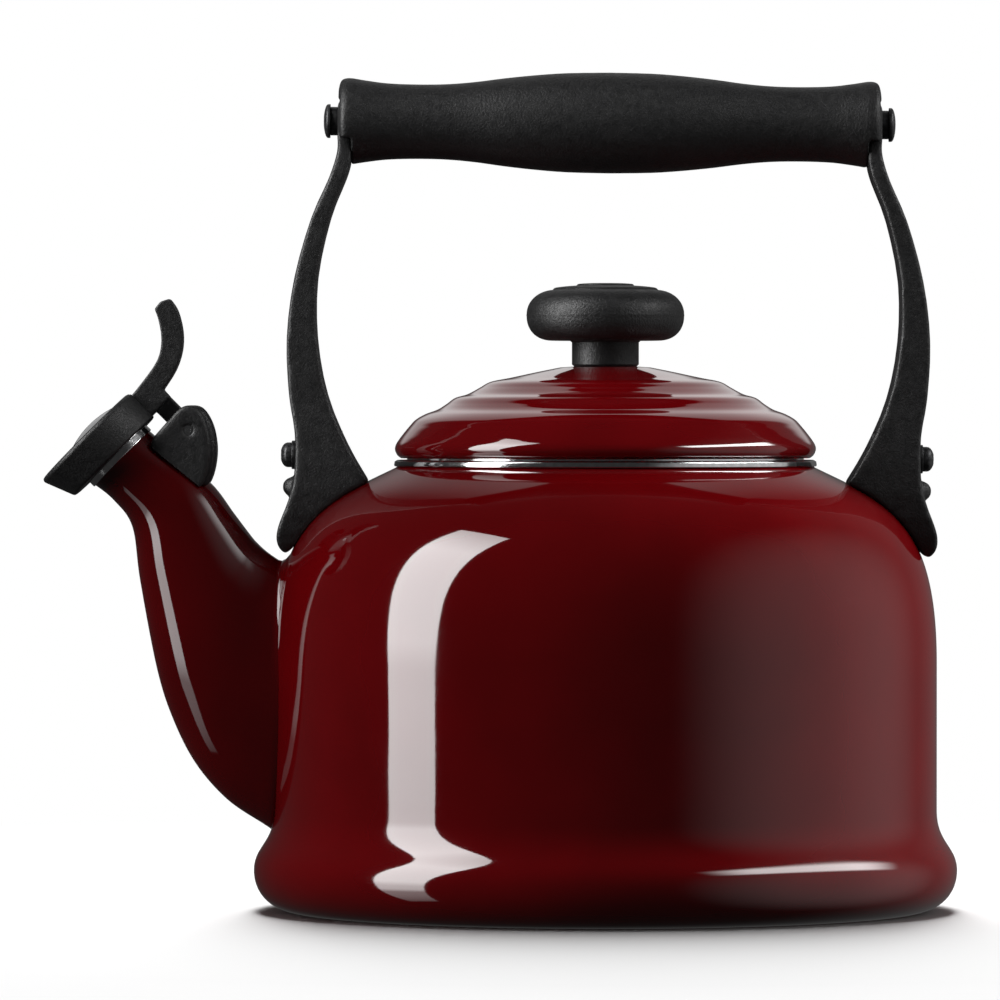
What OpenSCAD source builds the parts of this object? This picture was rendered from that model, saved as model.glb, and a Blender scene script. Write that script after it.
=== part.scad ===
// Stovetop whistling kettle: an enamelled steel vessel and spout, a fixed bridge
// handle of moulded phenolic, a lift-off lid, and a sprung whistle flap that the
// thumb lever tips off the spout.
//
// Millimetres, +Z up. The origin is on the vessel's axis, on the plane it stands
// on. The spout points along -X, and the handle bridges the lid along X.

/* [Vessel] */
// Radius of the straight wall, outside
wall_r = 88; // [86.5:0.1:89]
// Radius of the rounded foot at its widest
foot_r = 93.4; // [92:0.1:94.5]
// Height of the foot's widest line, where the base is welded on
foot_z = 10.8; // [9.5:0.1:12]
// Radius of the flat underside
base_flat_r = 82; // [79:0.5:84]
// Height at which the shoulder starts to curve in
shoulder_z = 66; // [62:0.5:70]
// Outer radius of the neck that the lid sits on
neck_r = 55.7; // [55.4:0.1:56]
// Height of the neck's root
neck_z = 117.7; // [117.2:0.1:118]
// Thickness of the enamelled sheet
sheet_t = 1.4; // [1.1:0.1:1.6]

/* [Spout] */
// Radius of the spout's mouth, outside
mouth_r = 10.2; // [10:0.1:10.4]
// Half the width of the spout's root on the wall
root_half_w = 16; // [14:0.5:18]

/* [Handle] */
// Height of the grip's axis
grip_z = 209.2; // [207:0.1:212]
// Radius of the grip's swell
grip_r = 13.4; // [12.5:0.1:14.5]
// Half the length of the grip
grip_half = 72; // [71.5:0.1:72.5]
// Half the width of the arms' feet
foot_half_w = 12; // [10.5:0.5:13]
// Lean of the whole handle towards the rear, in degrees
handle_lean = 0.4; // [0:0.1:0.6]

/* [Lid] */
// Radius of the lid at its widest
lid_r = 55.9; // [55.6:0.1:56.4]
// Height of the lid's flat crown
crown_z = 144.5; // [144:0.1:146]
// Radius of the knob
knob_r = 21; // [18:0.5:23]

/* [Whistle] */
// Radius of the whistle cap's outer face
cap_r = 17; // [16.5:0.1:17.5]
// Height of the whistle cap above the mouth
cap_top = 10.9; // [10.4:0.1:11.4]
// Half the width of the thumb lever
lever_half_w = 5.5; // [4.5:0.5:6.5]

/* [Hidden] */
$fn = 96;

enamel = [0.33, 0.02, 0.03];
phenolic = [0.09, 0.09, 0.09];
steel = [0.75, 0.75, 0.76];
black_steel = [0.12, 0.12, 0.12];
brass = [0.80, 0.62, 0.30];
silicone = [0.20, 0.20, 0.21];

gap = 0.05;       // clearance between parts that are assembled face to face
screw_r = 1.95;   // shank of the M4 screws
tapped_r = 2;     // tapped hole for an M4 screw
clear_r = 2.2;    // clearance hole for an M4 screw
socket_r = 1.4;   // hexagon socket in a screw's head, across its corners
insert_r = 3.2;   // outside of the moulded-in threaded inserts
arm_screw_z = 120.5;
arm_seat_x = 82.9;    // flat on an arm's outer face, under its washer
tongue_x = [68.6, 72.2];  // inner and outer face of the tongue at an arm's top
tongue_half_w = 8;
pin_r = 1.25;
pin_at = [17.8, -7.4];    // hinge pin in the mouth's frame, across and along its axis
mouth_at = [-128.4, 0, 120.3];
mouth_tilt = 45;
ring_top = 3.1;       // top of the steel ring above the mouth
slot_half_w = 4.4;    // slot between the hinge housing's cheeks
housing_half_w = 8.6;

// ---- Curves ----

function bezier(a, b, c, d, n) = [
    for (i = [0:n]) let (t = i / n, s = 1 - t)
        s * s * s * a + 3 * s * s * t * b + 3 * s * t * t * c + t * t * t * d
];

function between(a, b, c, d, t) =
    0.5 * (2 * b + (c - a) * t + (2 * a - 5 * b + 4 * c - d) * t * t + (3 * b - a - 3 * c + d) * t * t * t);

// A smooth curve through the points of p, with n steps between neighbours
function through(p, n) = let (last = len(p) - 1) concat(
    [for (i = [0:last - 1], j = [0:n - 1])
        between(p[max(i - 1, 0)], p[i], p[i + 1], p[min(i + 2, last)], j / n)],
    [p[last]]);

function heading(p, i) =
    let (d = p[min(i + 1, len(p) - 1)] - p[max(i - 1, 0)]) d / norm(d);

// The curve p moved by t towards its left
function moved_left(p, t) = [
    for (i = [0:len(p) - 1]) let (d = heading(p, i)) p[i] + t * [-d[1], d[0]]
];

function reversed(p) = [for (i = [len(p) - 1:-1:0]) p[i]];

// ---- Vessel ----

// Underside of the foot, from the flat out to the widest line
base_curve = bezier([base_flat_r, 0], [base_flat_r + 7, 0], [foot_r, 4.8], [foot_r, foot_z], 8);
// From the widest line in to the straight wall, and over the shoulder to the neck
wall_curve = concat(
    bezier([foot_r, foot_z], [foot_r, foot_z + 6.4], [wall_r, foot_z + 7.2], [wall_r, foot_z + 16], 10),
    bezier([wall_r, shoulder_z], [wall_r, shoulder_z + 38.5], [neck_r + 18.7, neck_z - 9.1],
        [neck_r, neck_z], 14));
radius_by_height = concat([[0, foot_r]], [for (p = wall_curve) [p[1], p[0]]]);
neck_top = neck_z + 1.5;
lip_r = neck_r - 0.5;

function wall_radius(z) = lookup(z, radius_by_height);

module turned(points) { rotate_extrude() polygon(points); }

// Everything inside the vessel's outer surface from the shoulder up, for cutting saddles
module vessel_above(z, clearance) {
    turned(concat([[0, z], [wall_radius(z) + clearance, z]],
        [for (p = wall_curve) if (p[1] > z) p + [clearance, clearance]], [[0, neck_z + clearance]]));
}

spout_port_z = [41, 75];  // centres of the port's round ends
spout_port_r = 11;
port_start_x = -wall_r - 10;
port_depth = 25;

module body_shell() {
    outer = concat(wall_curve, [[lip_r, neck_z + 0.5], [lip_r, neck_top]]);
    inner = moved_left(outer, sheet_t);
    color(enamel) difference() {
        turned(concat(outer, reversed([for (i = [1:len(inner) - 1]) inner[i]]),
            [[foot_r - sheet_t, foot_z]]));
        for (z = spout_port_z)
            translate([port_start_x, 0, z]) rotate([0, 90, 0]) cylinder(r = spout_port_r, h = port_depth);
        translate([port_start_x, -spout_port_r, spout_port_z[0]])
            cube([port_depth, 2 * spout_port_r, spout_port_z[1] - spout_port_z[0]]);
    }
}

module base_pan() {
    inner = moved_left(base_curve, sheet_t);
    color(enamel)
        turned(concat([[0, 0]], base_curve, [[foot_r - sheet_t, foot_z]],
            reversed([for (i = [1:len(inner) - 2]) inner[i]]), [[base_flat_r, sheet_t], [0, sheet_t]]));
}

// Stainless trim folded over the neck's raw edge
module neck_rim_ring() {
    trim_t = 0.5;
    trim_depth = 5;
    out_r = lip_r + gap;
    in_r = lip_r - sheet_t - gap;
    top = neck_top + gap;
    color(steel) turned([
        [out_r, neck_z + 0.6], [neck_r + 0.3, neck_z + 0.3], [neck_r + 0.45, neck_z + 0.7],
        [neck_r + 0.3, top + 0.1], [out_r, top + trim_t], [in_r - 0.2, top + trim_t],
        [in_r - trim_t, top + 0.2],
        [in_r - trim_t, neck_z - trim_depth], [in_r, neck_z - trim_depth], [in_r, top], [out_r, top]
    ]);
}

// ---- Spout ----

// The spout's lower and upper edge lines in the XZ plane, station by station
spout_low = [[-135.6, 113.1], [-130.6, 109], [-125.7, 102], [-123.6, 87.5], [-119.1, 64],
    [-114.7, 50.4], [-108.7, 38.8], [-100.4, 29.4], [-91.2, 23.2]];
spout_high = [[-121.2, 127.5], [-113, 120.4], [-104.3, 113.1], [-98.6, 105.5], [-94, 99.4],
    [-92.3, 97.5], [-90.6, 95.9], [-88.8, 94.5], [-86.9, 93.2]];
spout_half_w = [mouth_r, 10.5, 11.6, 12.9, 14.2, 14.9, 15.4, 15.7, root_half_w];
root_z = [21.6, 94.8];    // lowest and highest point of the weld on the wall
spout_steps = 2;
spout_sides = 32;
spout_t = 1.3;
weld_flare = 0.5;    // the root's rings widen this much at the weld

low_line = through(spout_low, spout_steps);
high_line = through(spout_high, spout_steps);
half_w_line = through(spout_half_w, spout_steps);

// One ring of points round the spout, t inside its outer surface
function spout_ring(i, t) = let (
    mid = (low_line[i] + high_line[i]) / 2,
    half = (high_line[i] - low_line[i]) / 2,
    a = half * (1 - t / norm(half)),
    b = half_w_line[i] - t
) [for (k = [0:spout_sides - 1]) let (q = 360 * k / spout_sides)
    [mid[0] + a[0] * cos(q), b * sin(q), mid[1] + a[1] * cos(q)]];

// The ring where the spout meets the vessel's wall
function root_ring(t) = let (
    mid = (root_z[0] + root_z[1]) / 2,
    half = (root_z[1] - root_z[0]) / 2 - t,
    b = root_half_w + weld_flare - t
) [for (k = [0:spout_sides - 1]) let (
    q = 360 * k / spout_sides, y = b * sin(q), z = mid + half * cos(q), r = wall_radius(z) + gap
) [-sqrt(r * r - y * y), y, z]];

// Rings joined each to the next, and the last to the first, into one closed skin
module closed_skin(rings) {
    m = len(rings);
    n = len(rings[0]);
    polyhedron(
        points = [for (ring = rings, p = ring) p],
        faces = [for (i = [0:m - 1], k = [0:n - 1]) let (
            a = i * n + k, b = i * n + (k + 1) % n,
            c = ((i + 1) % m) * n + (k + 1) % n, d = ((i + 1) % m) * n + k
        ) each [[a, b, c], [a, c, d]]]);
}

module spout() {
    last = len(low_line) - 1;
    outer = concat([for (i = [0:last]) spout_ring(i, 0)], [root_ring(0)]);
    inner = concat([root_ring(spout_t)], [for (i = [last:-1:0]) spout_ring(i, spout_t)]);
    color(enamel) closed_skin(concat(outer, inner));
}

// Places its children in the mouth's frame: Z out along its axis, X up across it
module at_mouth() { translate(mouth_at) rotate([0, -mouth_tilt, 0]) children(); }

module spout_mouth_ring() {
    out_r = mouth_r + 0.5;
    in_r = mouth_r - spout_t - 0.5;
    color(steel) at_mouth() turned([
        [mouth_r + gap, -0.2], [out_r, -0.2], [out_r, ring_top - 0.5], [out_r - 0.5, ring_top],
        [in_r + 0.5, ring_top], [in_r, ring_top - 0.5], [in_r, gap], [mouth_r + gap, gap]
    ]);
}

// ---- Handle ----

// An arm's outer and inner edge lines, top to bottom, as distance from the axis and height
arm_outer = [[tongue_x[1], 205], [72.2, 201], [74.3, 194], [78.9, 183.4], [83.3, 167.5], [85.2, 151.6],
    [84.5, 136.5], [arm_seat_x, 126.5], [arm_seat_x, 116], [84.3, 109], [86.9, 102.2], [87.6, 98.6],
    [87, 96], [85.5, 94.4]];
arm_inner = [[tongue_x[0], 205], [68.5, 199], [69.8, 194], [73.9, 183.4], [77.2, 167.5], [77.2, 151.6],
    [74.4, 136.5], [68.9, 123.2], [63.3, 113.6]];
// Half the arm's width by height
arm_half_w = [[93, 5], [94.5, 6.8], [97, 8.8], [100, 10.2], [105, foot_half_w - 0.6], [111, foot_half_w],
    [118, foot_half_w - 0.2], [135, 10.5], [165, 9.6], [195, 9], [203, tongue_half_w],
    [215, tongue_half_w]];
// Underside of an arm's foot, inside the shoulder before the saddle is cut
arm_under = [[84.7, 94.6], [78, 101], [60, 108]];
arm_blank_d = 30;     // stock that an arm's outlines are cut from, more than its depth and width
nub_x = 83.6;         // moulded nub below the screw
nub_z = 112;
nub_r = 2.7;
tongue_top = grip_z + 5.5;
bracket_x = [70.5, 73.5];
bracket_half_w = 7;
bracket_low = 100;    // inside the shoulder before the saddle is cut
saddle_z = 90;        // the saddles are cut above this height
slip = 0.2;           // room round a bracket in its arm's pocket
lean_pivot_z = 20;
handle_shift = -0.2;  // the handle stands this far off the vessel's axis
bracket_top = 127;

module arm_blank() {
    side = concat([[tongue_x[0], tongue_top], [tongue_x[1] - 0.6, tongue_top],
        [tongue_x[1], tongue_top - 1.6]], through(arm_outer, 3),
        arm_under, reversed(through(arm_inner, 3)));
    front = concat([for (p = arm_half_w) [p[1], p[0]]],
        [for (i = [len(arm_half_w) - 1:-1:0]) [-arm_half_w[i][1], arm_half_w[i][0]]]);
    intersection() {
        rotate([90, 0, 0]) linear_extrude(arm_blank_d, center = true) polygon(side);
        translate([60, 0, 0]) rotate([90, 0, 90]) linear_extrude(arm_blank_d) polygon(front);
    }
}

// Places the handle's children at the rear, or mirrored at the front when side is -1
module on_handle(side = 1) {
    translate([handle_shift, 0, lean_pivot_z]) rotate([0, handle_lean, 0]) translate([0, 0, -lean_pivot_z])
        scale_x(side) children();
}

module scale_x(side) {
    if (side < 0) mirror([1, 0, 0]) children();
    else children();
}

// An arm, its foot hollowed to sit on the shoulder, over the bracket
module handle_arm(side) {
    color(phenolic) difference() {
        on_handle(side) difference() {
            union() {
                arm_blank();
                translate([nub_x, 0, nub_z]) sphere(r = nub_r);
            }
            translate([bracket_x[0] - slip, -bracket_half_w - slip, bracket_low])
                cube([bracket_x[1] - bracket_x[0] + 2 * slip, 2 * (bracket_half_w + slip),
                    bracket_top + 0.5 - bracket_low]);
            translate([bracket_x[0], 0, arm_screw_z]) rotate([0, 90, 0]) cylinder(r = clear_r, h = 20);
            translate([tongue_x[0] - 5, 0, grip_z]) rotate([0, 90, 0]) cylinder(r = clear_r, h = 15);
        }
        vessel_above(saddle_z, gap);
    }
}

// Steel tab welded to the shoulder and tapped for the arm's screw
module handle_bracket(side) {
    color(steel) difference() {
        on_handle(side) difference() {
            translate([bracket_x[0], -bracket_half_w, bracket_low])
                cube([bracket_x[1] - bracket_x[0], 2 * bracket_half_w, bracket_top - bracket_low]);
            translate([bracket_x[0] - 1, 0, arm_screw_z]) rotate([0, 90, 0]) cylinder(r = tapped_r, h = 6);
        }
        vessel_above(saddle_z, gap);
    }
}

// Dome-headed screw along +X: the dome's seat is at x = 0 and the shank runs to -length
module dome_screw(size) {
    head_r = size[0];
    head_h = size[1];
    length = size[2];
    dome = [for (q = [90:-15:0]) [head_r * cos(q), 0.35 * head_h + 0.65 * head_h * sin(q)]];
    color(black_steel) rotate([0, 90, 0]) {
        difference() {
            turned(concat(dome, [[head_r, 0], [0, 0]]));
            translate([0, 0, 0.45 * head_h]) cylinder(r = socket_r, h = head_h, $fn = 6);
        }
        translate([0, 0, -length]) cylinder(r = screw_r, h = length + 0.1);
    }
}

// Washer along +X with its inner face at x = 0
module washer(out_r, t) {
    color(black_steel) rotate([0, 90, 0]) difference() {
        cylinder(r = out_r, h = t);
        translate([0, 0, -1]) cylinder(r = screw_r + 0.15, h = t + 2);
    }
}

arm_washer_t = 0.9;
grip_washer_t = 1.9;
washer_r = 3.8;
grip_seat_x = tongue_x[1];
// Head radius, head height and length under the head
arm_screw_size = [3.3, 3, 13.2];
grip_screw_size = [4.5, 1.8, 16];
knob_screw_size = [3.6, 2.4, 12];

module arm_screw() {
    translate([arm_seat_x + arm_washer_t + gap, 0, arm_screw_z]) dome_screw(arm_screw_size);
}
module arm_washer() {
    translate([arm_seat_x + gap / 2, 0, arm_screw_z]) washer(washer_r, arm_washer_t);
}
module grip_screw() {
    translate([grip_seat_x + grip_washer_t + gap, 0, grip_z]) dome_screw(grip_screw_size);
}
module grip_washer() {
    translate([grip_seat_x + gap / 2, 0, grip_z]) washer(washer_r, grip_washer_t);
}

// Half of the grip's outline, from the middle to the end face, as distance along X and radius
grip_outline = [[0, grip_r], [11, grip_r - 0.2], [19.5, grip_r - 0.8], [28, grip_r - 1.7],
    [35.5, grip_r - 2.7], [43, grip_r - 3.35], [51, grip_r - 3.5], [59, grip_r - 3.25],
    [65, grip_r - 2.5], [69.2, grip_r - 1.9], [71.3, grip_r - 2.6], [grip_half, grip_r - 5]];
insert_len = 14;
insert_bore_extra = 4;    // the bore runs on past the insert for the screw's tip
end_cut_low = 4.5;         // the grip's end is cut away from this far below its axis

module handle_grip() {
    half = through(grip_outline, 3);
    outline = concat([[-grip_half, 0]],
        [for (i = [len(half) - 1:-1:1]) [-half[i][0], half[i][1]]], half, [[grip_half, 0]]);
    color(phenolic) on_handle() translate([0, 0, grip_z]) difference() {
        rotate([0, 90, 0]) turned([for (p = outline) [p[1], p[0]]]);
        for (side = [-1, 1]) scale_x(side) {
            // groove for the arm's tongue, open below
            translate([tongue_x[0] - gap, -tongue_half_w - gap, -20])
                cube([10, 2 * (tongue_half_w + gap), tongue_top - grip_z + 20 + 0.2]);
            // the end's lower part stops short of the tongue
            translate([tongue_x[0] - gap, -20, -20]) cube([10, 40, 20 - end_cut_low]);
            translate([tongue_x[0] - insert_len - insert_bore_extra, 0, 0]) rotate([0, 90, 0])
                cylinder(r = insert_r + gap, h = insert_len + insert_bore_extra + 1);
        }
    }
}

// Threaded tube along +X from x = 0
module threaded_insert(length) {
    color(brass) rotate([0, 90, 0]) difference() {
        cylinder(r = insert_r, h = length);
        translate([0, 0, -1]) cylinder(r = tapped_r, h = length + 2);
    }
}

module grip_insert() {
    translate([tongue_x[0] - insert_len - gap, 0, grip_z]) threaded_insert(insert_len);
}

// ---- Whistle hinge ----

press_gap = 0.02;     // between the pin and the bores that hold it
housing_gap = 0.35;   // between the housing and the spout
bracket_ear_t = 0.8;
bracket_ear_y = slot_half_w - 0.2 - bracket_ear_t;  // inner face of an ear
ear_r = 2.8;
ear_x = 9;            // the ears start here, on the spout
saddle_t = 3.2;

// The neck of the spout under the hinge, as a cone in the mouth's frame
module neck_cone(clearance) {
    translate([1.05, 0, -23]) rotate([0, -1.6, 0])
        cylinder(r1 = 11.3 + clearance, r2 = 10.1 + clearance, h = 23.5);
}

// Steel saddle with two ears, welded along the top of the spout
module hinge_bracket() {
    color(steel) at_mouth() difference() {
        union() {
            for (side = [-1, 1]) {
                y = side > 0 ? bracket_ear_y : -bracket_ear_y - bracket_ear_t;
                translate([pin_at[0], y + bracket_ear_t, pin_at[1]]) rotate([90, 0, 0])
                    cylinder(r = ear_r, h = bracket_ear_t);
                translate([ear_x, y, pin_at[1] - ear_r])
                    cube([pin_at[0] - ear_x, bracket_ear_t, 2 * ear_r]);
            }
            translate([ear_x, -bracket_ear_y - bracket_ear_t, pin_at[1] - ear_r])
                cube([saddle_t, 2 * (bracket_ear_y + bracket_ear_t), 2 * ear_r]);
        }
        neck_cone(0);
        hinge_bore(pin_r + press_gap);
    }
}

module hinge_bore(r) {
    translate([pin_at[0], 0, pin_at[1]]) rotate([90, 0, 0]) cylinder(r = r, h = 30, center = true);
}

// Outline of the housing's cheeks in the mouth's frame: the front, then the rounded back
housing_front = [[7.2, -20.8], [7, -4.4], [7.8, -2.8], [9.6, -2.2]];
housing_back = [[19.6, -1.6], [22.3, -2.5], [23.5, -5.2], [22.5, -9.4], [20.3, -13.1], [17.6, -16.1],
    [13.8, -18.9], [10.1, -20.5], [7.1, -20.9]];
housing_lip = [1.1, -1];  // how far the rim stands out behind a cheek's face
lip_set_back = 1.5;       // from a cheek's face to its rim
web_z = -15.1;            // top of the web that joins the cheeks

// Two cheeks astride the spout, joined by a web at the back, each with a rim round its back
module hinge_housing() {
    color(phenolic) at_mouth() difference() {
        union() {
            cheeks(housing_half_w, [0, 0]);
            cheeks(housing_half_w - lip_set_back, housing_lip);
        }
        translate([0, -slot_half_w, web_z]) cube([30, 2 * slot_half_w, 20]);
        neck_cone(housing_gap);
        hinge_bore(pin_r + press_gap);
    }
}

module cheeks(half_w, lip) {
    rotate([90, 0, 0]) linear_extrude(2 * half_w, center = true)
        polygon(concat(housing_front, through([for (p = housing_back) p + lip], 4)));
}

module hinge_pin() {
    length = 2 * (housing_half_w - 0.4);
    color(steel) at_mouth() translate([pin_at[0], 0, pin_at[1]]) rotate([90, 0, 0]) difference() {
        cylinder(r = pin_r, h = length, center = true);
        for (side = [-1, 1])
            translate([0, 0, side * length / 2]) cylinder(r = 0.7, h = 1.6, center = true);
    }
}

knuckle_y = [-3.1, 0.3];  // the lever's knuckle, beside the spring
knuckle_r = 2.7;
coil_r = 2.3;
coil_room_r = 5;
wire_r = 0.3;
coil_turns = 3.25;
coil_pitch = 0.7;
coil_steps = 18;
coil_start_y = 0.75;
coil_first = 270;
wire_sides = 8;

// Route of the torsion spring's wire: a leg on the saddle, the coil, a leg on the lever
function coil_point(turn) = let (q = coil_first + 360 * turn)
    [pin_at[0] + coil_r * cos(q), coil_start_y + coil_pitch * turn, pin_at[1] + coil_r * sin(q)];
coil = [for (i = [0:round(coil_turns * coil_steps)]) coil_point(i / coil_steps)];
spring_route = concat(
    [coil_point(0) + [-5.2, 0, -0.2], coil_point(0) + [-2.6, 0, -0.1]], coil,
    [coil[len(coil) - 1] + [0, 0, 2], coil[len(coil) - 1] + [0, 0, 4]]);

// Ring of points round a route at point i, square to it
function wire_ring(route, i) = let (
    d = route[min(i + 1, len(route) - 1)] - route[max(i - 1, 0)],
    ahead = d / norm(d),
    side = cross(ahead, [0, 1, 0]) / norm(cross(ahead, [0, 1, 0])),
    up = cross(side, ahead)
) [for (k = [0:wire_sides - 1]) let (q = 360 * k / wire_sides)
    route[i] + wire_r * (cos(q) * side + sin(q) * up)];

// Rings joined each to the next, with flat ends
module capped_skin(rings) {
    m = len(rings);
    n = len(rings[0]);
    polyhedron(
        points = [for (ring = rings, p = ring) p],
        faces = concat(
            [for (i = [0:m - 2], k = [0:n - 1]) let (
                a = i * n + k, b = i * n + (k + 1) % n, c = (i + 1) * n + (k + 1) % n, d = (i + 1) * n + k
            ) each [[a, c, d], [a, b, c]]],
            [[for (k = [n - 1:-1:0]) k], [for (k = [0:n - 1]) (m - 1) * n + k]]));
}

// Solid wire along a route
module wire(route) { capped_skin([for (i = [0:len(route) - 1]) wire_ring(route, i)]); }

module hinge_spring() { color(steel) at_mouth() wire(spring_route); }

// ---- Whistle ----

cap_low = 1.6;        // underside of the cap above the mouth
cap_low_r = 15.5;
cap_low_x = -0.6;     // centre of the cap's underside
cap_top_x = -2.4;     // centre of its top: the cap reaches further over the pouring side
cap_sides = 72;
bore_r = 8;           // chamber between the whistle plates
seal_top = 4.6;
recess_r = 11.3;
foot_x = 11.4;        // the lever's foot meets the cap here
foot_low = 2.2;
plate_t = 0.6;
note_hole_r = 1.6;

// Circle of the cap's side, as radius and height, its centre moving over from bottom to top
function cap_ring(r, z) = let (
    t = (z - cap_low) / (cap_top - cap_low),
    x = cap_low_x + (cap_top_x - cap_low_x) * t
) [for (k = [0:cap_sides - 1]) let (q = 360 * k / cap_sides) [x + r * cos(q), -r * sin(q), z]];

module whistle_cap() {
    side = [[cap_low_r - 0.9, cap_low], [cap_low_r - 0.2, cap_low + 0.2], [cap_low_r, cap_low + 0.7],
        [cap_r - 0.2, cap_top - 2], [cap_r, cap_top - 1], [cap_r - 0.4, cap_top - 0.2],
        [cap_r - 1.2, cap_top]];
    color(phenolic) at_mouth() difference() {
        capped_skin([for (p = side) cap_ring(p[0], p[1])]);
        translate([-0.4, 0, 0]) cylinder(r = recess_r, h = seal_top);
        cylinder(r = bore_r, h = cap_top + 1);
        translate([0, 0, cap_top - 0.8]) cylinder(r = bore_r + 0.8, h = 2);
        translate([foot_x - gap, -lever_half_w - gap, 0]) cube([10, 2 * (lever_half_w + gap), 20]);
    }
}

// Upper and lower edge of the thumb lever in the mouth's frame
lever_high = [[foot_x, 9.6], [18.2, 10.3], [25.1, 11.6], [29.6, 14.6], [32.8, 18.9], [34.1, 21.7]];
lever_low = [[38.9, 20.8], [38.2, 17.2], [35.4, 12.5], [31.7, 8.9], [26.7, 6.3], [20.6, 4.9]];
bar_x = [15.1, 20.5];
bar_half_w = 3.1;

module whistle_lever() {
    color(phenolic) at_mouth() difference() {
        union() {
            rotate([90, 0, 0]) linear_extrude(2 * lever_half_w, center = true)
                polygon(concat(through(lever_high, 3), [[36.6, 22]], through(lever_low, 3),
                    [[bar_x[1], foot_low], [foot_x, foot_low]]));
            translate([bar_x[0], -bar_half_w, pin_at[1]])
                cube([bar_x[1] - bar_x[0], 2 * bar_half_w, 7 - pin_at[1]]);
            translate([pin_at[0], knuckle_y[1], pin_at[1]]) rotate([90, 0, 0])
                cylinder(r = knuckle_r, h = knuckle_y[1] - knuckle_y[0]);
        }
        // room beside the knuckle for the spring's coil
        translate([pin_at[0], 10 + knuckle_y[1], pin_at[1]]) rotate([90, 0, 0])
            cylinder(r = coil_room_r, h = 10);
        hinge_bore(pin_r + gap);
    }
}

// Domed steel plate with the outer note hole
module whistle_outer_plate() {
    rim_r = bore_r + 0.7;
    dome = [for (i = [0:8]) let (r = rim_r + (note_hole_r - rim_r) * i / 8)
        [r, cap_top - 0.1 + 1.6 * (1 - r * r / (rim_r * rim_r))]];
    color(steel) at_mouth()
        turned(concat(dome, reversed([for (p = dome) p - [0, plate_t]])));
}

// Flat steel plate with the inner note hole
module whistle_inner_plate() {
    color(steel) at_mouth() translate([0, 0, seal_top + 0.1]) difference() {
        cylinder(r = bore_r - gap, h = plate_t);
        translate([0, 0, -1]) cylinder(r = note_hole_r, h = 3);
    }
}

// Silicone ring that closes on the mouth ring
module whistle_seal() {
    squeeze = 0.2;
    out_r = 11;
    in_r = 7.6;
    color(silicone) at_mouth() difference() {
        translate([-0.2, 0, ring_top + squeeze]) cylinder(r = out_r, h = seal_top - ring_top - squeeze);
        cylinder(r = in_r, h = 10);
    }
}

// ---- Lid ----

// Outside of the lid, from the crown's flat over three rounded steps to the rolled edge
crown_flat_r = 9;
lid_curve = concat([[crown_flat_r, crown_z]], through([[12, 144.3], [18, 143.1], [25, 141.6], [30.4, 140.5],
    [33.4, 138.9], [36.6, 137.2], [39.9, 136.2], [42.3, 134.7], [45, 133], [48.1, 132.1], [50.5, 130.5],
    [52.2, 128.2], [54.4, 125.9], [lid_r, 123.3], [55.3, 121.3], [54.3, 120.2]], 3));
lid_inside = crown_z - sheet_t;

module lid_shell() {
    inner = moved_left(lid_curve, -sheet_t);
    color(enamel) difference() {
        turned(concat([[0, crown_z]], lid_curve,
            reversed([for (i = [1:len(inner) - 1]) inner[i]]),
            [[crown_flat_r, lid_inside], [0, lid_inside]]));
        cylinder(r = clear_r, h = crown_z + 1);
    }
}

skirt_r = neck_r - 3;
skirt_t = 0.7;
skirt_low = 111;
skirt_high = 122;     // welded to the lid's rolled edge up to here
bead_z = 120.9;       // the skirt steps out above this height, under the lid's edge
bead = 0.4;

// Stainless ring under the lid that locates it in the neck
module lid_skirt() {
    color(steel) turned([
        [skirt_r - skirt_t, skirt_low], [skirt_r, skirt_low], [skirt_r, bead_z],
        [skirt_r + bead, bead_z + bead], [skirt_r + bead, skirt_high], [skirt_r - skirt_t, skirt_high]
    ]);
}

knob_low = 151.4;     // underside of the knob's head
knob_high = 164.9;    // edge of the knob's flat top
stem_r = 8.9;
// Shallow rise from the head's edge to the button on its top, and the button
knob_top = [[knob_r - 7.2, knob_high + 0.4], [knob_r - 7.6, knob_high + 0.7], [7.6, knob_high + 1.3],
    [7.2, knob_high + 1.6], [0, knob_high + 1.8]];
knob_washer_r = 6;
knob_washer_t = 1;

module lid_knob() {
    mid = (knob_low + knob_high) / 2;
    head = concat(
        bezier([knob_r - 6.5, knob_low], [knob_r - 2.6, knob_low], [knob_r, knob_low + 3],
            [knob_r, mid], 6),
        bezier([knob_r, mid], [knob_r, knob_high - 3], [knob_r - 2.6, knob_high - 0.3],
            [knob_r - 7, knob_high], 6));
    color(phenolic) difference() {
        turned(concat([[0, crown_z], [stem_r - 0.5, crown_z], [stem_r, crown_z + 0.8],
            [stem_r, knob_low]], head, knob_top));
        translate([0, 0, crown_z - 1]) cylinder(r = insert_r + gap, h = insert_len);
    }
}

module knob_insert() {
    translate([0, 0, crown_z + gap]) rotate([0, -90, 0]) threaded_insert(insert_len - 2);
}

module knob_washer() {
    translate([0, 0, lid_inside - gap / 2]) rotate([0, 90, 0]) washer(knob_washer_r, knob_washer_t);
}

module knob_screw() {
    translate([0, 0, lid_inside - knob_washer_t - gap]) rotate([0, 90, 0]) dome_screw(knob_screw_size);
}

// ---- Assembly ----

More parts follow.
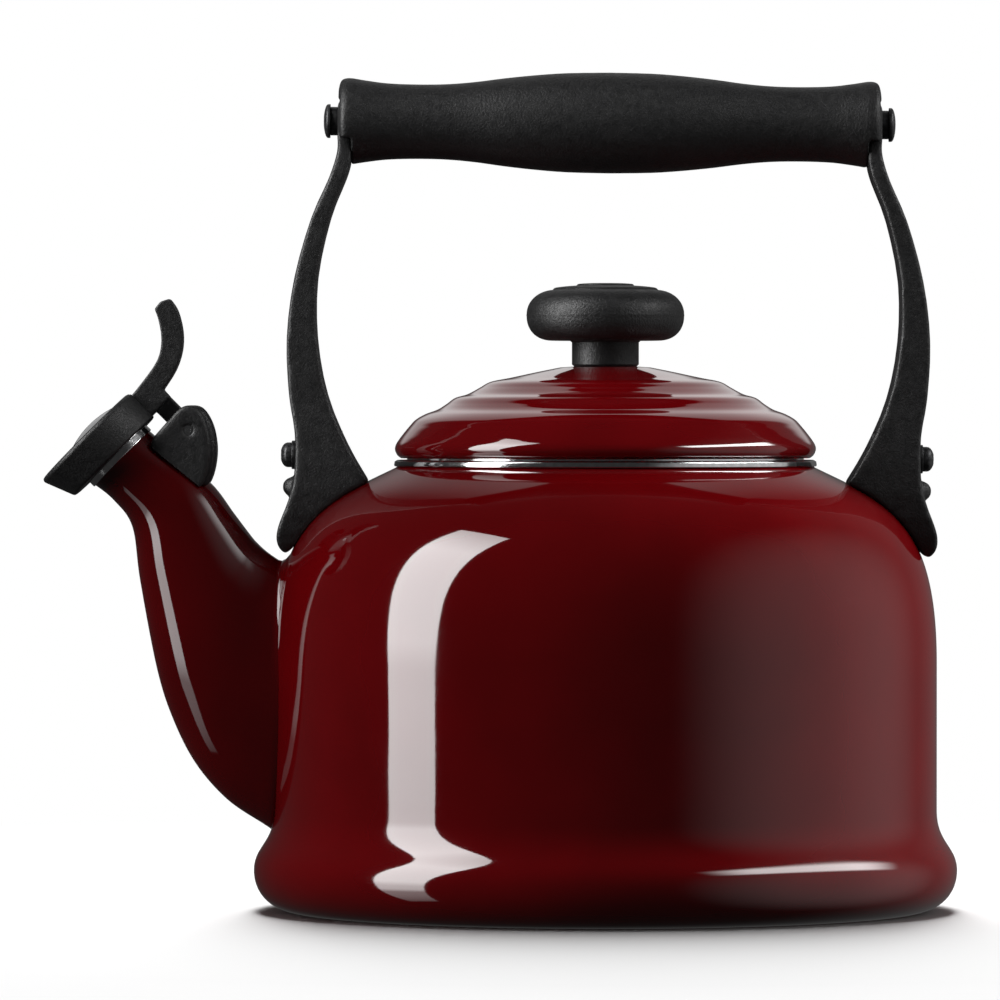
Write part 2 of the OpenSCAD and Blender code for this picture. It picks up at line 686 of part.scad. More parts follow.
body_shell();
base_pan();
neck_rim_ring();
spout();
spout_mouth_ring();
handle_bracket(-1);  // front_handle_bracket
handle_bracket(1);  // rear_handle_bracket
handle_arm(-1);  // front_handle_arm
handle_arm(1);  // rear_handle_arm
on_handle(-1) arm_screw();  // front_arm_screw
on_handle() arm_screw();  // rear_arm_screw
on_handle(-1) arm_washer();  // front_arm_washer
on_handle() arm_washer();  // rear_arm_washer
handle_grip();
on_handle(-1) grip_insert();  // front_grip_insert
on_handle() grip_insert();  // rear_grip_insert
on_handle(-1) grip_screw();  // front_grip_screw
on_handle() grip_screw();  // rear_grip_screw
on_handle(-1) grip_washer();  // front_grip_washer
on_handle() grip_washer();  // rear_grip_washer
hinge_bracket();
hinge_housing();
hinge_pin();
hinge_spring();
whistle_cap();
whistle_lever();
whistle_outer_plate();
whistle_inner_plate();
whistle_seal();
lid_shell();
lid_skirt();
lid_knob();
knob_insert();
knob_screw();
knob_washer();
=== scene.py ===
"""Looks of the stovetop whistling kettle: glossy enamel, grained phenolic and plain steel.

Lengths are in millimetres in the shapes below and in metres in Blender. The frame is the
CAD's: +Z up, the spout towards -X, the origin on the vessel's axis on the plane it stands on.
"""

import math

import bmesh
import bpy
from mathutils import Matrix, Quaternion, Vector


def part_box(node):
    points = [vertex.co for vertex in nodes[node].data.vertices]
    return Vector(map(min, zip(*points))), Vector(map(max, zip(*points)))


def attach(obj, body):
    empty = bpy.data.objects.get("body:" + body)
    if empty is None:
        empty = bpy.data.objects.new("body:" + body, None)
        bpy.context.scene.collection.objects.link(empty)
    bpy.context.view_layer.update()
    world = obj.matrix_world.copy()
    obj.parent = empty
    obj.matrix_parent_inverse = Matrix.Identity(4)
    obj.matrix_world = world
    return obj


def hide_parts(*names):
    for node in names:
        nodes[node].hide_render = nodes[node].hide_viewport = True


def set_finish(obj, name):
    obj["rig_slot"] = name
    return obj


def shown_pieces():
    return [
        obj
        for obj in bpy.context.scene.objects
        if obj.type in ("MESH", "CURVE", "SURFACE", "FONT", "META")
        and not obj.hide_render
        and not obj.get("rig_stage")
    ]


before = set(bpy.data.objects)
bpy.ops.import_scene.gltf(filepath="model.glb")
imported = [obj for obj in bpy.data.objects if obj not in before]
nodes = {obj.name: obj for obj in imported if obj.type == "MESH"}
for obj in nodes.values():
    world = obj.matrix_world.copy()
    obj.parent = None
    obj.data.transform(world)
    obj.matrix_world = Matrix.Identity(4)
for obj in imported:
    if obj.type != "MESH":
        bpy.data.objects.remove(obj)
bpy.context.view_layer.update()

MM = 0.001
GAP = 0.05  # clearance between parts assembled face to face


def high(node, axis):
    """A CAD node's furthest reach along an axis, in millimetres."""
    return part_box(node)[1][axis] / MM


def low(node, axis):
    """A CAD node's nearest reach along an axis, in millimetres."""
    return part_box(node)[0][axis] / MM


# ---- Sizes ----

SHEET_T = 1.4
AXIS_R = 0.01  # where a turned outline starts, just short of the axis

FOOT_R = high("body_shell", 0)
FOOT_Z = high("base_pan", 2)
BASE_FLAT_R = FOOT_R - 11.4
WALL_R = FOOT_R - 5.4
FLARE_TOP = FOOT_Z + 16
SHOULDER_Z = 66
SHOULDER_PULL = 38.5  # handles of the shoulder's curve: up from the wall, out and down from the neck
NECK_PULL = (18.7, 9.1)
NECK_TOP = high("body_shell", 2)
NECK_Z = NECK_TOP - 1.5
NECK_R = high("neck_rim_ring", 0) - 0.45
PORT_Z = (41, 75)  # centres of the round ends of the port behind the spout
PORT_R = 11
VESSEL_SIDES = 256
FLARE_STEPS = 32

LID_R = high("lid_shell", 0)
LID_HOLE_R = 2.2
CROWN_Z = high("lid_shell", 2)
KNOB_R = high("lid_knob", 0)
KNOB_BORE_R = 3.25

SPOUT_T = 1.3
WELD_FLARE = 0.2
ROOT_Z = (low("spout", 2), 94.8)


# ---- Curves ----


def bezier(a, b, c, d, steps):
    """Points of a cubic curve from a to d, both ends included."""
    a, b, c, d = Vector(a), Vector(b), Vector(c), Vector(d)
    points = []
    for i in range(steps + 1):
        t = i / steps
        s = 1 - t
        points.append(s**3 * a + 3 * s * s * t * b + 3 * s * t * t * c + t**3 * d)
    return points


def through(points, steps):
    """A smooth curve through the points, with so many steps between neighbours."""
    p = [Vector(q) for q in points]
    last = len(p) - 1
    curve = []
    for i in range(last):
        a, b, c, d = p[max(i - 1, 0)], p[i], p[i + 1], p[min(i + 2, last)]
        for j in range(steps):
            t = j / steps
            cubic = (3 * b - a - 3 * c + d) * t**3
            curve.append(0.5 * (2 * b + (c - a) * t + (2 * a - 5 * b + 4 * c - d) * t * t + cubic))
    return curve + [p[last]]


def moved_left(points, distance):
    """A flat curve moved towards its left."""
    moved = []
    for i, p in enumerate(points):
        ahead = (points[min(i + 1, len(points) - 1)] - points[max(i - 1, 0)]).normalized()
        moved.append(p + distance * Vector((-ahead.y, ahead.x)))
    return moved


# ---- Meshes ----

SHARP_DEG = 40  # edges that turn more than this stay crisp


def solid(name, points, faces, body, slot):
    """A closed smooth-shaded mesh from points in millimetres, riding on a body."""
    mesh = bpy.data.meshes.new(name)
    mesh.from_pydata([p * MM for p in points], [], faces)
    work = bmesh.new()
    work.from_mesh(mesh)
    bmesh.ops.remove_doubles(work, verts=work.verts, dist=1e-7)
    bmesh.ops.dissolve_degenerate(work, edges=work.edges, dist=1e-8)
    bmesh.ops.recalc_face_normals(work, faces=work.faces)
    work.to_mesh(mesh)
    work.free()
    mesh.shade_smooth()
    mesh.set_sharp_from_angle(angle=math.radians(SHARP_DEG))
    piece = bpy.data.objects.new(name, mesh)
    bpy.context.scene.collection.objects.link(piece)
    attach(piece, body)
    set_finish(piece, slot)
    return piece


def ring_faces(rings, keep=None):
    """Faces joining each ring to the next and the last to the first, where keep allows them."""
    count, sides = len(rings), len(rings[0])
    faces = []
    for i in range(count):
        for k in range(sides):
            if keep and not keep(i, k):
                continue
            here, above = i * sides, (i + 1) % count * sides
            after = (k + 1) % sides
            faces.append((here + k, here + after, above + after, above + k))
    return faces


def closed_skin(name, rings, body, slot):
    """One closed skin through rings of points, the last joined back to the first."""
    return solid(name, [p for ring in rings for p in ring], ring_faces(rings), body, slot)


def circle(radius, height, sides):
    """A level ring of points round the axis."""
    angles = [2 * math.pi * k / sides for k in range(sides)]
    return [Vector((radius * math.cos(q), radius * math.sin(q), height)) for q in angles]


def turned(name, outline, body, slot, sides=192):
    """A closed outline of (radius, height) turned about the axis."""
    rings = [circle(p[0], p[1], sides) for p in outline]
    return closed_skin(name, rings, body, slot)


# ---- Vessel ----


def flare_curve(steps):
    """Outside of the vessel from its widest line in to the straight wall."""
    a, b = (FOOT_R, FOOT_Z), (FOOT_R, FOOT_Z + 6.4)
    return bezier(a, b, (WALL_R, FOOT_Z + 7.2), (WALL_R, FLARE_TOP), steps)


def upper_curve(steps):
    """Outside of the vessel from the flare's top up the wall and over the shoulder to the neck."""
    wall = [Vector((WALL_R, FLARE_TOP + (SHOULDER_Z - FLARE_TOP) * i / 12)) for i in range(1, 12)]
    a, b = (WALL_R, SHOULDER_Z), (WALL_R, SHOULDER_Z + SHOULDER_PULL)
    return wall + bezier(a, b, (NECK_R + NECK_PULL[0], NECK_Z - NECK_PULL[1]), (NECK_R, NECK_Z), steps)


def wall_radius(height):
    """Radius of the vessel's outside at a height between the foot and the neck."""
    curve = flare_curve(16) + upper_curve(32)
    for a, b in zip(curve, curve[1:]):
        if a.y <= height <= b.y:
            return a.x + (b.x - a.x) * (height - a.y) / (b.y - a.y)
    return FOOT_R


def build_foot():
    """Enamelled base and rounded foot, up to the steepest line of the flare."""
    outer = [Vector((r, 0)) for r in (AXIS_R, 20, 40, 60, 74)]
    outer += bezier((BASE_FLAT_R, 0), (BASE_FLAT_R + 7, 0), (FOOT_R, 4.8), (FOOT_R, FOOT_Z), 24)
    outer += flare_curve(FLARE_STEPS)[1:FLARE_STEPS // 2 + 1]
    inner = moved_left(outer, SHEET_T)
    inner[0].x = AXIS_R
    foot = turned("foot_skin", outer + inner[::-1], "kettle", "enamel", VESSEL_SIDES)
    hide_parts("base_pan")
    return foot


def build_vessel():
    """Enamelled wall, shoulder and neck, with the port that feeds the spout."""
    sides = VESSEL_SIDES
    lip = [Vector((NECK_R - 0.5, NECK_Z + 0.5)), Vector((NECK_R - 0.5, NECK_TOP))]
    outer = flare_curve(FLARE_STEPS)[FLARE_STEPS // 2:] + upper_curve(56) + lip
    outline = outer + moved_left(outer, SHEET_T)[::-1]
    rings = [circle(p.x, p.y, sides) for p in outline]
    count = len(outer)

    def in_port(point):
        near = min(max(point.z, PORT_Z[0]), PORT_Z[1])
        return point.x < 0 and math.hypot(point.y, point.z - near) < PORT_R

    def open_cell(i, k):
        across = (rings[i][k] + rings[i + 1][(k + 1) % sides]) / 2
        return in_port(across)

    opened = {(i, k) for i in range(count - 1) for k in range(sides) if open_cell(i, k)}

    def keep(i, k):
        mirrored = 2 * count - 2 - i
        return (i, k) not in opened and (mirrored, k) not in opened

    faces = ring_faces(rings, keep)

    def at(i, k):
        return i * sides + k % sides

    def facing(i, k):
        return at(2 * count - 1 - i, k)

    for i, k in opened:
        borders = {
            (i - 1, k): ((i, k), (i, k + 1)),
            (i + 1, k): ((i + 1, k), (i + 1, k + 1)),
            (i, (k - 1) % sides): ((i, k), (i + 1, k)),
            (i, (k + 1) % sides): ((i, k + 1), (i + 1, k + 1)),
        }
        for neighbour, (a, b) in borders.items():
            if neighbour not in opened:
                faces.append((at(*a), at(*b), facing(*b), facing(*a)))
    points = [p for ring in rings for p in ring]
    vessel = solid("vessel_skin", points, faces, "kettle", "enamel")
    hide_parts("body_shell")
    return vessel


# ---- Spout ----

# Stations from the mouth to the wall: lower edge (x, z), upper edge (x, z), half width
SPOUT_STATIONS = (
    (-135.6, 113.1, -121.2, 127.5, 10.2),
    (-130.6, 109, -113, 120.4, 10.5),
    (-125.7, 102, -104.3, 113.1, 11.6),
    (-123.6, 87.5, -98.6, 105.5, 12.9),
    (-119.1, 64, -94, 99.4, 14.2),
    (-114.7, 50.4, -92.3, 97.5, 14.9),
    (-108.7, 38.8, -90.6, 95.9, 15.4),
    (-100.4, 29.4, -88.8, 94.5, 15.7),
    (-91.2, 23.2, -86.9, 93.2, 16),
)


def spout_ring(station, inset, sides):
    """Ring of points round the spout at a station, inset from its outer surface."""
    low_end = Vector((station[0], station[1]))
    high_end = Vector((station[2], station[3]))
    middle, half = (low_end + high_end) / 2, (high_end - low_end) / 2
    half *= 1 - inset / half.length
    ring = []
    for k in range(sides):
        q = 2 * math.pi * k / sides
        side = (station[4] - inset) * math.sin(q)
        ring.append(Vector((middle.x + half.x * math.cos(q), side, middle.y + half.y * math.cos(q))))
    return ring


def root_ring(inset, sides):
    """Ring of points where the spout's weld meets the wall."""
    ring = []
    for k in range(sides):
        q = 2 * math.pi * k / sides
        y = (SPOUT_STATIONS[-1][4] + WELD_FLARE - inset) * math.sin(q)
        z = (ROOT_Z[0] + ROOT_Z[1]) / 2 + ((ROOT_Z[1] - ROOT_Z[0]) / 2 - inset) * math.cos(q)
        radius = wall_radius(z) + GAP
        ring.append(Vector((-math.sqrt(radius * radius - y * y), y, z)))
    return ring


def weld_rings(before, last, root, steps):
    """Rings that carry the spout's surface round a small fillet onto the wall."""
    rings = []
    for i in range(1, steps + 1):
        t = i / steps
        ring = []
        for a, b, c in zip(before, last, root):
            ahead = (b - a).normalized()
            knee = b + ahead * max((c - b).dot(ahead), 0)
            ring.append((1 - t) ** 2 * b + 2 * t * (1 - t) * knee + t * t * c)
        rings.append(ring)
    return rings


def build_spout():
    """Enamelled tapered spout, from its mouth to the weld on the wall."""
    sides = 96
    stations = through(SPOUT_STATIONS, 9)
    outer = [spout_ring(s, 0, sides) for s in stations]
    outer += weld_rings(outer[-2], outer[-1], root_ring(0, sides), 3)
    inner = [spout_ring(s, SPOUT_T, sides) for s in stations] + [root_ring(SPOUT_T, sides)]
    spout = closed_skin("spout_skin", outer + inner[::-1], "kettle", "enamel")
    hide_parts("spout")
    return spout


# ---- Lid ----


def build_lid():
    """Enamelled lid: a flat crown, three rounded steps and a rolled edge."""
    curve = [Vector((r, CROWN_Z)) for r in (LID_HOLE_R, 5, 9)]
    curve += through(
        (
            (12, 144.3), (18, 143.1), (25, 141.6), (30.4, 140.5), (33.4, 138.9), (36.6, 137.2),
            (39.9, 136.2), (42.3, 134.5), (44.6, 133.1), (47.8, 131.9), (50.4, 130.4), (52.1, 128.6),
            (53.5, 126.9), (54.8, 125.2), (55.7, 123.7), (LID_R, 122.4), (55.3, 121), (54.3, 120.2),
        ),
        8,
    )
    inner = moved_left(curve, -SHEET_T)
    inner[0].x = curve[0].x
    lid = turned("lid_skin", curve + inner[::-1], "lid", "enamel", 224)
    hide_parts("lid_shell")
    return lid


def build_knob():
    """Phenolic knob: a short stem, a rounded head with a faint parting line, a raised button on top."""
    under, edge = 151.4, 164.9
    middle = (under + edge) / 2
    bore_top = 158
    stem_r = 8.9
    side_r = KNOB_R - 0.06
    below_line, above_line = (side_r, middle - 0.3), (side_r, middle + 0.3)
    outline = [(KNOB_BORE_R, CROWN_Z), (stem_r - 0.6, CROWN_Z), (stem_r, CROWN_Z + 0.6)]
    outline += [(stem_r, under - 0.5), (stem_r + 0.5, under)]
    lower = bezier((KNOB_R - 6.8, under), (KNOB_R - 2.4, under), (side_r, under + 3), below_line, 16)
    upper = bezier(above_line, (side_r, edge - 3.2), (KNOB_R - 2.8, edge - 0.3), (KNOB_R - 7, edge), 16)
    outline += [tuple(p) for p in lower] + [(KNOB_R, middle)] + [tuple(p) for p in upper]
    rise_start = ((KNOB_R - 7.1, edge + 0.15), (KNOB_R - 7.8, edge + 0.6))
    rise = through((*rise_start, (10.5, edge + 0.95), (7.7, edge + 1.15)), 4)
    button = through(((7.5, edge + 1.3), (7, edge + 1.6), (4, edge + 1.78), (AXIS_R, edge + 1.8)), 4)
    outline += [tuple(p) for p in rise + button] + [(AXIS_R, bore_top), (KNOB_BORE_R, bore_top)]
    knob = turned("knob", outline, "lid", "phenolic", 160)
    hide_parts("lid_knob")
    return knob


# ---- Materials ----


def add_node(tree, kind, inputs=None, **settings):
    """A shader node with its settings, and its inputs linked or set."""
    made = tree.nodes.new("ShaderNode" + kind)
    for key, value in settings.items():
        setattr(made, key, value)
    for key, value in (inputs or {}).items():
        if isinstance(value, bpy.types.NodeSocket):
            tree.links.new(value, made.inputs[key])
        else:
            made.inputs[key].default_value = value
    return made


class Finish:
    """A node material under construction: one shader and the nodes that feed it."""

    def __init__(self, name):
        self.material = bpy.data.materials.new(name)
        self.material.use_nodes = True
        self.tree = self.material.node_tree
        self.shader = self.tree.nodes["Principled BSDF"]
        self.place = self.node("TexCoord").outputs["Object"]

    def node(self, kind, inputs=None, **settings):
        """A node in this material."""
        return add_node(self.tree, kind, inputs, **settings)

    def set(self, **values):
        """Uniform values, on the shader's own sockets."""
        for key, value in values.items():
            self.shader.inputs[key.replace("_", " ")].default_value = value

    def noise(self, scale, detail=2.0, rough=0.5):
        """Noise of so many features to the metre."""
        inputs = {"Vector": self.place, "Scale": scale, "Detail": detail, "Roughness": rough}
        return self.node("TexNoise", inputs).outputs["Fac"]

    def spread(self, value, lowest, highest, start=0.3, end=0.7):
        """A value between start and end, spread over a range."""
        inputs = {"Value": value, "From Min": start, "From Max": end, "To Min": lowest, "To Max": highest}
        return self.node("MapRange", inputs).outputs["Result"]

    def colours(self, value, first, second):
        """Two colours mixed by a noise value."""
        ramp = self.node("ValToRGB", {"Fac": value})
        for stop, place, colour in zip(ramp.color_ramp.elements, (0.35, 0.65), (first, second)):
            stop.position = place
            stop.color = (*colour, 1)
        return ramp.outputs["Color"]

    def bump(self, height, depth, below=None):
        """Bumps of a depth in metres, over another layer of bumps where given."""
        inputs = {"Height": height, "Distance": depth, "Strength": 1.0}
        if below:
            inputs["Normal"] = below
        return self.node("Bump", inputs).outputs["Normal"]

    def feed(self, socket, value):
        """Links a node's output to the shader."""
        self.tree.links.new(value, self.shader.inputs[socket])


def make_enamel():
    """Glassy burgundy enamel, fused a little unevenly, with the ripple of a fired coat."""
    f = Finish("burgundy_enamel")
    f.set(Specular_IOR_Level=0.5)
    f.feed("Base Color", f.colours(f.noise(35), (0.056, 0.0004, 0.0010), (0.047, 0.0003, 0.0008)))
    f.feed("Roughness", f.spread(f.noise(60), 0.035, 0.06))
    ripple = f.bump(f.noise(55, 1.0), 0.00004)
    f.feed("Normal", f.bump(f.noise(700, 1.0), 0.0000012, ripple))
    return f.material


def make_phenolic():
    """Charcoal phenolic with the fine pebble of its mould."""
    f = Finish("grained_phenolic")
    f.set(Specular_IOR_Level=0.42)
    grain = f.noise(1700, 2.0, rough=0.6)
    f.feed("Base Color", f.colours(grain, (0.0035, 0.0035, 0.0037), (0.0095, 0.0095, 0.0098)))
    f.feed("Roughness", f.spread(f.noise(500), 0.42, 0.56))
    pebble = f.bump(grain, 0.00014)
    f.feed("Normal", f.bump(f.noise(4200, 1.0), 0.00003, pebble))
    return f.material


def make_metal(name, first, second, roughness, grain):
    """Metal with a fine grain: two tints, a roughness range and the grain's features to the metre."""
    f = Finish(name)
    f.set(Metallic=1.0)
    marks = f.noise(grain, 3.0)
    f.feed("Base Color", f.colours(marks, first, second))
    f.feed("Roughness", f.spread(marks, *roughness))
    f.feed("Normal", f.bump(marks, 0.0000015))
    return f.material


def make_black_steel():
    """Blackened screw steel, rubbed a little lighter in places."""
    f = Finish("blackened_steel")
    f.set(Metallic=0.6)
    marks = f.noise(900, 3.0)
    f.feed("Base Color", f.colours(marks, (0.018, 0.018, 0.019), (0.05, 0.05, 0.052)))
    f.feed("Roughness", f.spread(marks, 0.3, 0.45))
    f.feed("Normal", f.bump(f.noise(2600), 0.00001))
    return f.material


def make_silicone():
    """Dark silicone with a powdery surface."""
    f = Finish("dark_silicone")
    f.set(Sheen_Weight=0.15)
    marks = f.noise(1200, 2.0)
    f.feed("Base Color", f.colours(marks, (0.02, 0.02, 0.021), (0.032, 0.032, 0.034)))
    f.feed("Roughness", f.spread(marks, 0.6, 0.75))
    f.feed("Normal", f.bump(marks, 0.00001))
    return f.material


def make_materials():
    """Every finish by the name of its material slot."""
    return {
        "enamel": make_enamel(),
        "phenolic": make_phenolic(),
        "steel": make_metal("bright_steel", (0.62, 0.62, 0.63), (0.74, 0.74, 0.75), (0.09, 0.15), 900),
        "black_steel": make_black_steel(),
        "spring_steel": make_metal("drawn_wire", (0.42, 0.42, 0.43), (0.55, 0.55, 0.56), (0.25, 0.38), 2500),
        "brass": make_metal("machined_brass", (0.62, 0.43, 0.16), (0.75, 0.55, 0.24), (0.22, 0.34), 1500),
        "silicone": make_silicone(),
    }


def dress(piece, material):
    """Gives a piece its one material."""
    piece.data.materials.clear()
    piece.data.materials.append(material)


# ---- CAD parts that stay ----


def mould(node, voxel, rounds):
    """Rounds a CAD part's edges all over, as a moulding's are."""
    piece = nodes[node]
    remesh = piece.modifiers.new("skin", "REMESH")
    remesh.mode = "VOXEL"
    remesh.voxel_size = voxel * MM
    remesh.use_smooth_shade = True
    smooth = piece.modifiers.new("round", "SMOOTH")
    smooth.factor = 0.5
    smooth.iterations = rounds


def break_edges(node, width):
    """Small bevels on a machined CAD part's edges."""
    piece = nodes[node]
    weld = piece.modifiers.new("weld", "WELD")
    weld.merge_threshold = 0.002 * MM
    bevel = piece.modifiers.new("edges", "BEVEL")
    bevel.width = width * MM
    bevel.segments = 3
    bevel.limit_method = "ANGLE"
    bevel.angle_limit = math.radians(35)
    normals = piece.modifiers.new("normals", "WEIGHTED_NORMAL")
    normals.keep_sharp = False


# Voxel size and rounds of smoothing of each moulded CAD part
MOULDED = {
    "handle_grip": (0.4, 6),
    "front_handle_arm": (0.4, 26),
    "rear_handle_arm": (0.4, 26),
    "hinge_housing": (0.3, 64),
    "whistle_cap": (0.2, 14),
    "whistle_lever": (0.2, 24),
}
# Width of the bevels on each machined CAD part
MACHINED = {
    "neck_rim_ring": 0.12,
    "spout_mouth_ring": 0.15,
    "front_arm_screw": 0.15,
    "rear_arm_screw": 0.15,
    "front_grip_screw": 0.15,
    "rear_grip_screw": 0.15,
    "front_arm_washer": 0.15,
    "rear_arm_washer": 0.15,
    "front_grip_washer": 0.25,
    "rear_grip_washer": 0.25,
    "hinge_pin": 0.1,
    "lid_skirt": 0.1,
    "knob_screw": 0.1,
    "knob_washer": 0.1,
}


# ---- Studio ----

# Lights stand at an azimuth, an elevation and a distance from the point they face
STRIP_PLACE = (-69, 27, 1.1)
STRIP_SIZE = (0.43, 2.9)
STRIP_DROP = 0.8  # how far the strip slides down in its own plane
STRIP_FADE = ((0, 0.05), (0.40, 0.2), (0.46, 0.55), (0.52, 0.62), (0.60, 0.93), (0.87, 1), (1, 0.55))
RIGHT_PLACE = (80, 36, 1.2)

CAMERA_AT = (-0.028, -2.3, 0.134)
CAMERA_LENS = 311.6
CAMERA_DROP_DEG = 0.621


def make_floor():
    """Pale floor that runs out into the white of the room."""
    mesh = bpy.data.meshes.new("floor")
    half = 4.0
    corners = [(-half, -half, 0), (half, -half, 0), (half, half, 0), (-half, half, 0)]
    mesh.from_pydata(corners, [], [(0, 1, 2, 3)])
    floor = bpy.data.objects.new("floor", mesh)
    bpy.context.scene.collection.objects.link(floor)
    floor.visible_glossy = False
    floor.visible_diffuse = False
    floor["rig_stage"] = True
    f = Finish("pale_floor")
    f.set(Roughness=0.9, Specular_IOR_Level=0.1, Base_Color=(0.78, 0.78, 0.78, 1))
    away = f.node("VectorMath", {0: f.place}, operation="LENGTH").outputs["Value"]
    share = f.spread(away, 0.0, 1.0, 0.3, 0.5)
    glow = f.node("Emission", {"Color": (1, 1, 1, 1), "Strength": 1.0}).outputs["Emission"]
    mix = f.node("MixShader", {"Fac": share, 1: f.shader.outputs["BSDF"], 2: glow})
    f.tree.links.new(mix.outputs["Shader"], f.tree.nodes["Material Output"].inputs["Surface"])
    dress(floor, f.material)
    return floor


def direction(azimuth, elevation):
    """A unit vector. Azimuth 0 is the camera's side, positive to the right."""
    a, e = math.radians(azimuth), math.radians(elevation)
    return Vector((math.sin(a) * math.cos(e), -math.cos(a) * math.cos(e), math.sin(e)))


def area_light(name, azimuth, elevation, distance, width, height, radiance, aim=(0, 0, 0.09), roll=0):
    """A soft box so far from the point it faces, turned by its roll in its own plane."""
    back = direction(azimuth, elevation)
    data = bpy.data.lights.new(name, "AREA")
    data.shape = "RECTANGLE"
    data.size = width
    data.size_y = height
    data.energy = radiance * math.pi * width * height
    light = bpy.data.objects.new(name, data)
    bpy.context.scene.collection.objects.link(light)
    light.location = Vector(aim) + back * distance
    turn = Quaternion((0, 0, 1), math.radians(roll))
    light.rotation_euler = (back.to_track_quat("Z", "Y") @ turn).to_euler()
    light.visible_camera = False
    return light


def make_world():
    """White to the camera; in reflections dark, with a soft glow on the right and low behind."""
    world = bpy.data.worlds.new("studio")
    bpy.context.scene.world = world
    world.use_nodes = True
    tree = world.node_tree
    background = tree.nodes["Background"]

    def ramp(value, start, end, lowest, highest):
        inputs = {"Value": value, "From Min": start, "From Max": end, "To Min": lowest, "To Max": highest}
        return add_node(tree, "MapRange", inputs, interpolation_type="SMOOTHSTEP").outputs["Result"]

    def maths(kind, a, b):
        return add_node(tree, "Math", {0: a, 1: b}, operation=kind).outputs["Value"]

    heading = add_node(tree, "TexCoord").outputs["Generated"]

    def lobe(azimuth, strength):
        inputs = {0: heading, 1: direction(azimuth, 0)}
        towards = add_node(tree, "VectorMath", inputs, operation="DOT_PRODUCT").outputs["Value"]
        return ramp(towards, 0.5, 1.0, 0.0, strength)

    glow = maths("ADD", lobe(80, 0.53), lobe(138, 0.09))
    axes = add_node(tree, "SeparateXYZ", {"Vector": heading})
    aside = maths("ABSOLUTE", axes.outputs["X"], 0.0)
    behind = maths("MULTIPLY", ramp(axes.outputs["Y"], 0.0, 0.3, 0.0, 0.5), ramp(aside, 0.02, 0.36, 1.0, 0.0))
    above = ramp(axes.outputs["Z"], 0.06, 0.45, 0.0, 1.0)
    below = ramp(axes.outputs["Z"], 0.75, 0.9, 1.0, 0.0)
    backdrop = maths("MULTIPLY", behind, maths("MULTIPLY", above, below))
    lit = maths("ADD", maths("ADD", glow, backdrop), 0.03)
    seen = add_node(tree, "LightPath").outputs["Is Camera Ray"]
    strength = add_node(tree, "Mix", {"Factor": seen, "A": lit, "B": 1.0}).outputs["Result"]
    tree.links.new(strength, background.inputs["Strength"])
    background.inputs["Color"].default_value = (1, 1, 1, 1)


def lights_only(light, pieces):
    """Keeps a light to some pieces, as flags and snoots do in a studio."""
    receivers = bpy.data.collections.new(light.name + "_receivers")
    for piece in pieces:
        receivers.objects.link(piece)
    light.light_linking.receiver_collection = receivers
    return light


def light_nodes(light):
    """A light's node tree, and its surface's own two coordinates from 0 to 1."""
    light.data.use_nodes = True
    tree = light.data.node_tree
    own = add_node(tree, "NewGeometry").outputs["Parametric"]
    return tree, add_node(tree, "SeparateXYZ", {"Vector": own}).outputs


def soften(light, margin):
    """Fades a light towards its edges."""
    tree, across = light_nodes(light)
    product = 1.0
    for axis in ("X", "Y"):
        for start, end in ((0.0, margin), (1.0, 1.0 - margin)):
            inputs = {"Value": across[axis], "From Min": start, "From Max": end}
            fade = add_node(tree, "MapRange", inputs, interpolation_type="SMOOTHSTEP").outputs["Result"]
            product = add_node(tree, "Math", {0: product, 1: fade}, operation="MULTIPLY").outputs["Value"]
    tree.links.new(product, tree.nodes["Emission"].inputs["Strength"])


def shade_strip(light):
    """Fades the strip light a little at its top and down to almost nothing at its foot."""
    tree, across = light_nodes(light)
    fade = add_node(tree, "ValToRGB", {"Fac": across["Y"]})
    stops = fade.color_ramp.elements
    for height, _ in STRIP_FADE[1:-1]:
        stops.new(height)
    for stop, (height, share) in zip(stops, STRIP_FADE):
        stop.position = height
        stop.color = (share, share, share, 1)
    tree.links.new(fade.outputs["Color"], tree.nodes["Emission"].inputs["Strength"])


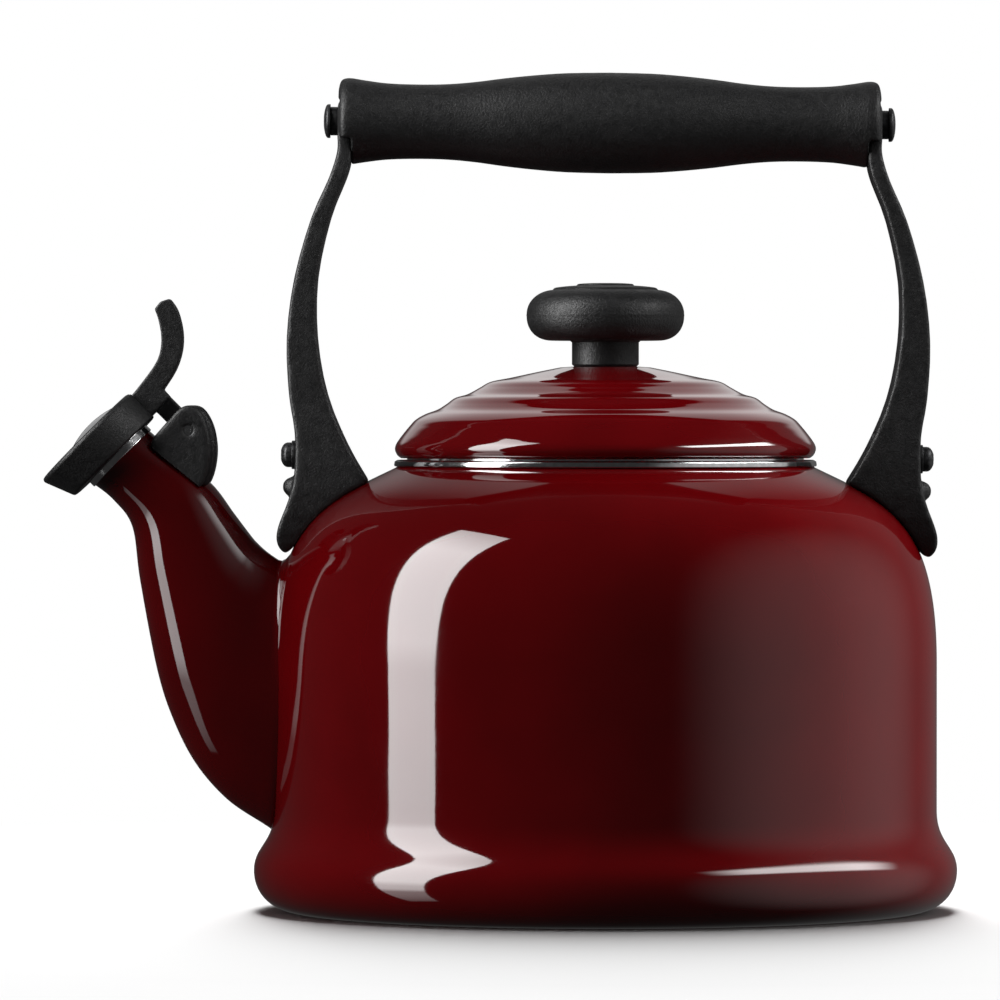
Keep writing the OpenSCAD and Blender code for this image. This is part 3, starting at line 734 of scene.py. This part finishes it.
def light_studio(foot, vessel, spout, lid, others, floor):
    """Lights the kettle. The others are every piece but the four enamelled ones."""
    every_piece = [foot, vessel, spout, lid, *others]
    azimuth, elevation, _ = STRIP_PLACE
    upwards = direction(azimuth, elevation).cross(direction(azimuth + 90, 0)).normalized()
    for name, radiance, lit in (
        ("key_strip", 15.0, [foot, vessel, lid, *others]),
        ("spout_strip", 9.5, [spout]),
    ):
        strip = area_light(name, *STRIP_PLACE, *STRIP_SIZE, radiance)
        strip.location -= STRIP_DROP * upwards
        shade_strip(strip)
        lights_only(strip, lit)

    for name, width, height, radiance, margin, lit in (
        ("right_box", 1.5, 0.3, 24.0, 0.16, [lid, nodes["neck_rim_ring"], nodes["spout_mouth_ring"]]),
        ("others_box", 1.5, 0.3, 7.0, 0.16, others),
        ("spout_box", 1.0, 0.6, 3.5, 0.45, [spout]),
    ):
        box = area_light(name, *RIGHT_PLACE, width, height, radiance)
        soften(box, margin)
        lights_only(box, lit)

    lid_screen = area_light("lid_screen", 180, 34, 1.2, 1.4, 1.2, 0.7, (0, 0, 0.13))
    soften(lid_screen, 0.12)
    lights_only(lid_screen, [lid])
    plate_screen = area_light("plate_screen", -140, 35, 1.0, 1.0, 1.0, 0.35)
    lights_only(plate_screen, [nodes["whistle_outer_plate"]])

    for name, azimuth, elevation, distance, size, radiance, lit in (
        ("side_fill", 80, 35, 1.2, 0.95, 3.5, every_piece),
        ("vessel_fill", 105, 27, 0.7, 0.5, 20.0, [foot, vessel]),
        ("top_fill", 0, 80, 1.5, 1.2, 1.0, every_piece),
    ):
        fill = area_light(name, azimuth, elevation, distance, size, size, radiance)
        fill.visible_glossy = False
        lights_only(fill, lit)

    foot_aim = (0.053, -0.076, 0.015)
    foot_box = area_light("foot_box", 81, 37.5, 0.6, 0.95, 0.21, 11.0, foot_aim, -17.6)
    foot_box.visible_diffuse = False
    soften(foot_box, 0.3)
    lights_only(foot_box, [foot])

    over_floor = lights_only(area_light("floor_light", 180, 54, 3.6, 1.3, 5.2, 12.7), [floor])
    blockers = bpy.data.collections.new("floor_blockers")
    blockers.objects.link(vessel)
    blockers.objects.link(foot)
    over_floor.light_linking.blocker_collection = blockers


def place_camera():
    """A little above the neck, far back with a long lens."""
    data = bpy.data.cameras.new("camera")
    data.sensor_width = 36
    data.lens = CAMERA_LENS
    data.clip_end = 50
    camera = bpy.data.objects.new("camera", data)
    bpy.context.scene.collection.objects.link(camera)
    camera.location = CAMERA_AT
    camera.rotation_euler = (math.radians(90 - CAMERA_DROP_DEG), 0, 0)
    bpy.context.scene.camera = camera


# ---- Assembly ----

finishes = make_materials()
new_pieces = [build_foot(), build_vessel(), build_spout(), build_lid(), build_knob()]
for new_piece in new_pieces:
    dress(new_piece, finishes[new_piece["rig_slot"]])
for kept in nodes.values():
    if not kept.hide_render:
        cad_slot = kept.data.materials[0].name
        dress(kept, finishes[cad_slot])
for moulded_node, (voxel_mm, smooth_rounds) in MOULDED.items():
    mould(moulded_node, voxel_mm, smooth_rounds)
for machined_node, bevel_mm in MACHINED.items():
    break_edges(machined_node, bevel_mm)

ground = make_floor()
make_world()
enamelled = new_pieces[:4]
light_studio(*enamelled, [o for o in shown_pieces() if o not in enamelled], ground)
place_camera()
bpy.context.scene.view_settings.view_transform = "Standard"
